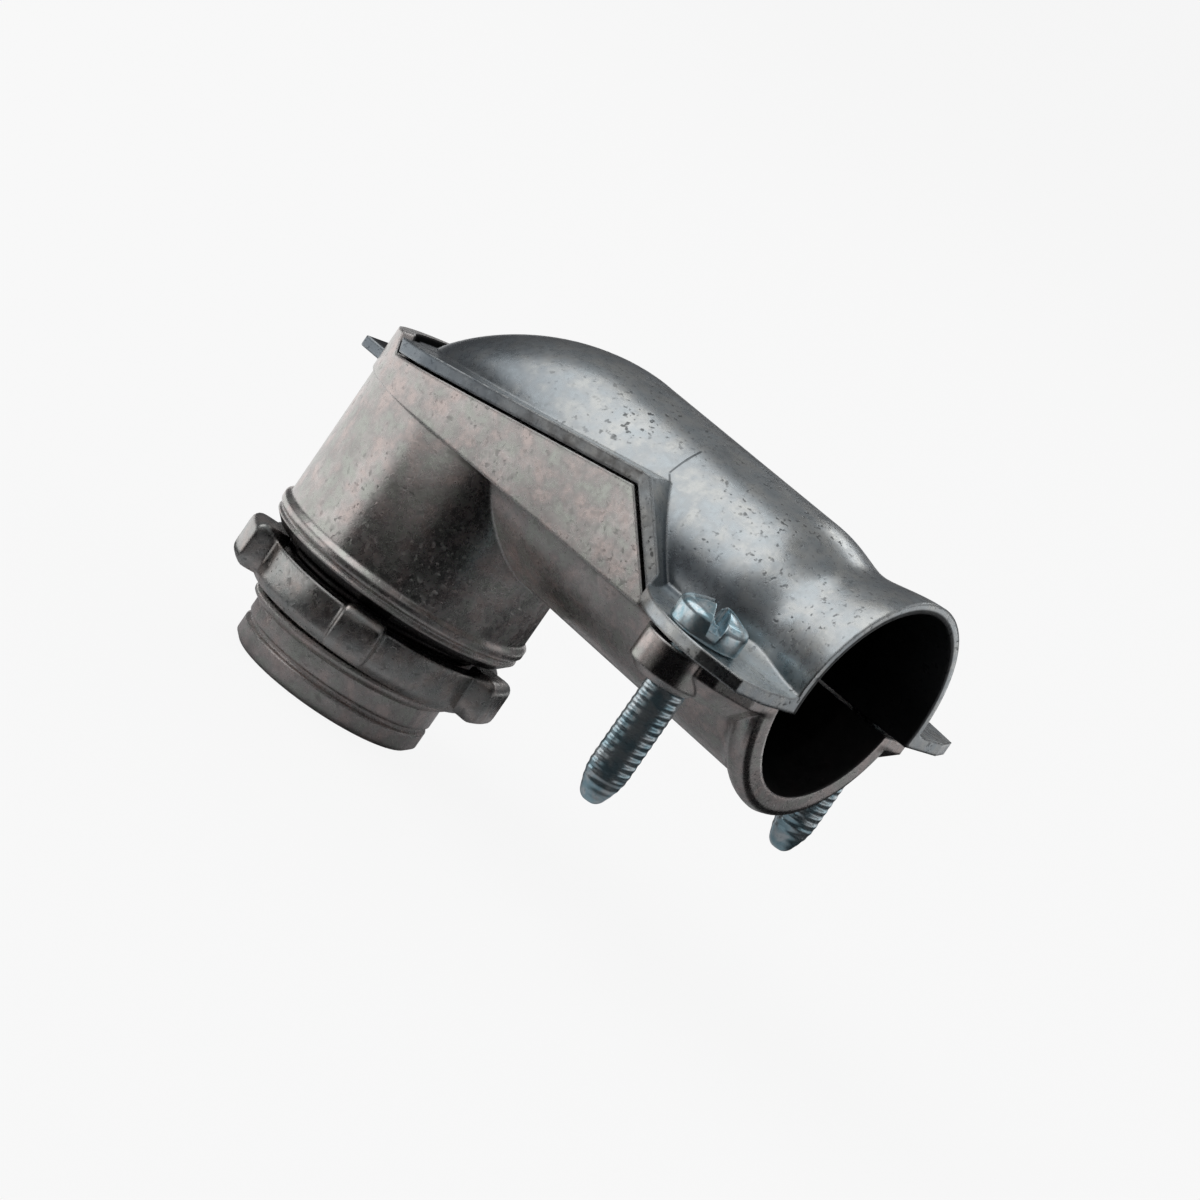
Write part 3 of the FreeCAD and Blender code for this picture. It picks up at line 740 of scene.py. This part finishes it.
def dark_cove(name, material):
    """A sheet that the bare metal mirrors: flat on the floor behind, under and in front of the
    connector, then bent up through a quarter circle into a standing edge that climbs from low on the
    left to tall on the right. The profile runs out towards the camera, and is carried straight along the
    conduit's direction, turned a little to follow the camera. The camera doesn't see it, and it neither
    tints diffuse light nor throws a shadow."""
    flat = np.linspace(CARD_BACK, CARD_OUT - CARD_BEND, 24)
    bend = np.linspace(-0.5 * math.pi, 0.0, 14)
    bend_out = CARD_OUT - CARD_BEND + CARD_BEND * np.cos(bend)
    bend_up = CARD_BEND + CARD_BEND * np.sin(bend)
    stand = np.linspace(0.0, 1.0, 8)
    out = np.concatenate([flat, bend_out, np.full(stand.size, CARD_OUT)])[:, None]
    along = np.linspace(CARD_LEFT, CARD_RIGHT, 100)[None, :]
    climb = step((along - CARD_CLIMB[0]) / (CARD_CLIMB[1] - CARD_CLIMB[0]))
    top = CARD_LOW + (CARD_TALL - CARD_LOW) * climb
    lying = np.concatenate([np.zeros(flat.size), bend_up])[:, None]
    lying = np.broadcast_to(lying, (lying.size, along.size))
    up = np.concatenate([lying, CARD_BEND + (top - CARD_BEND) * stand[:, None]])
    turn = math.radians(CARD_TURN)
    x = along * math.cos(turn) + out * math.sin(turn)
    y = along * math.sin(turn) - out * math.cos(turn)
    card = surface(name, np.stack([x, y, FLOOR_LEVEL + CARD_LIFT + up], axis=-1), material, closed=False)
    card.visible_camera = False
    card.visible_diffuse = False
    card.visible_shadow = False
    return card


floor_disc(9000.0)
dark_cove("dark_cove", dark_card())


def soft_lamp(name, turn, rise, distance, width, height, power):
    """A rectangular lamp at a turn about Z and a height angle, facing the connector's middle."""
    a, e = math.radians(turn), math.radians(rise)
    away = Vector((math.sin(a) * math.cos(e), -math.cos(a) * math.cos(e), math.sin(e)))
    data = bpy.data.lights.new(name, "AREA")
    data.shape = "RECTANGLE"
    data.size = width
    data.size_y = height
    data.energy = power
    lamp = bpy.data.objects.new(name, data)
    bpy.context.scene.collection.objects.link(lamp)
    middle = Vector(VIEW_AIM) * MM
    lamp.location = middle + away * distance
    lamp.rotation_euler = away.to_track_quat("Z", "Y").to_euler()


# Turn and rise in degrees, distance, width and height in metres, power in watts
soft_lamp("key_lamp", turn=-57.0, rise=50.0, distance=0.8, width=0.9, height=0.7, power=1.8)
soft_lamp("back_lamp", turn=-163.0, rise=36.0, distance=0.8, width=0.22, height=0.22, power=0.22)
soft_lamp("fill_lamp", turn=148.0, rise=48.0, distance=0.8, width=0.8, height=0.6, power=0.4)

world = bpy.data.worlds.new("studio")
bpy.context.scene.world = world
world.use_nodes = True
world.node_tree.nodes.clear()
sky = Link(world.node_tree)
way = sky.add("ShaderNodeTexCoord", out="Generated")
rise = sky.add("ShaderNodeSeparateXYZ", {}, {0: way}).output("Z").ramp(0.0, 0.8)
tone = rise.tint(*STUDIO_TONES)
glow = sky.add("ShaderNodeBackground", {}, {"Color": tone, "Strength": 1.0})
sky.add("ShaderNodeOutputWorld", {}, {"Surface": glow})


def photo_camera():
    """The camera of the photograph: aimed at the connector's middle, rolled, and slid so that the aim
    point falls on its pixel."""
    a, e, r = (math.radians(v) for v in (VIEW_TURN, VIEW_RISE, VIEW_ROLL))
    away = Vector((math.sin(a) * math.cos(e), -math.cos(a) * math.cos(e), math.sin(e)))
    level = Vector((math.cos(a), math.sin(a), 0.0))
    upright = away.cross(level)
    right = level * math.cos(r) + upright * math.sin(r)
    up = upright * math.cos(r) - level * math.sin(r)
    slide_right = (0.5 * PHOTO_PIXELS - VIEW_AIM_PIXEL[0]) / VIEW_PIXELS_PER_MM
    slide_up = (VIEW_AIM_PIXEL[1] - 0.5 * PHOTO_PIXELS) / VIEW_PIXELS_PER_MM
    place = Vector(VIEW_AIM) + away * VIEW_DISTANCE + right * slide_right + up * slide_up
    data = bpy.data.cameras.new("photo_camera")
    data.sensor_fit = "HORIZONTAL"
    data.sensor_width = SENSOR
    data.lens = SENSOR * VIEW_PIXELS_PER_MM * VIEW_DISTANCE / PHOTO_PIXELS
    data.clip_start = 0.01
    camera = bpy.data.objects.new("photo_camera", data)
    bpy.context.scene.collection.objects.link(camera)
    turn = Matrix((right, up, away)).transposed().to_4x4()
    camera.matrix_world = Matrix.Translation(place * MM) @ turn
    bpy.context.scene.camera = camera


photo_camera()
bpy.context.scene.view_settings.view_transform = "Standard"
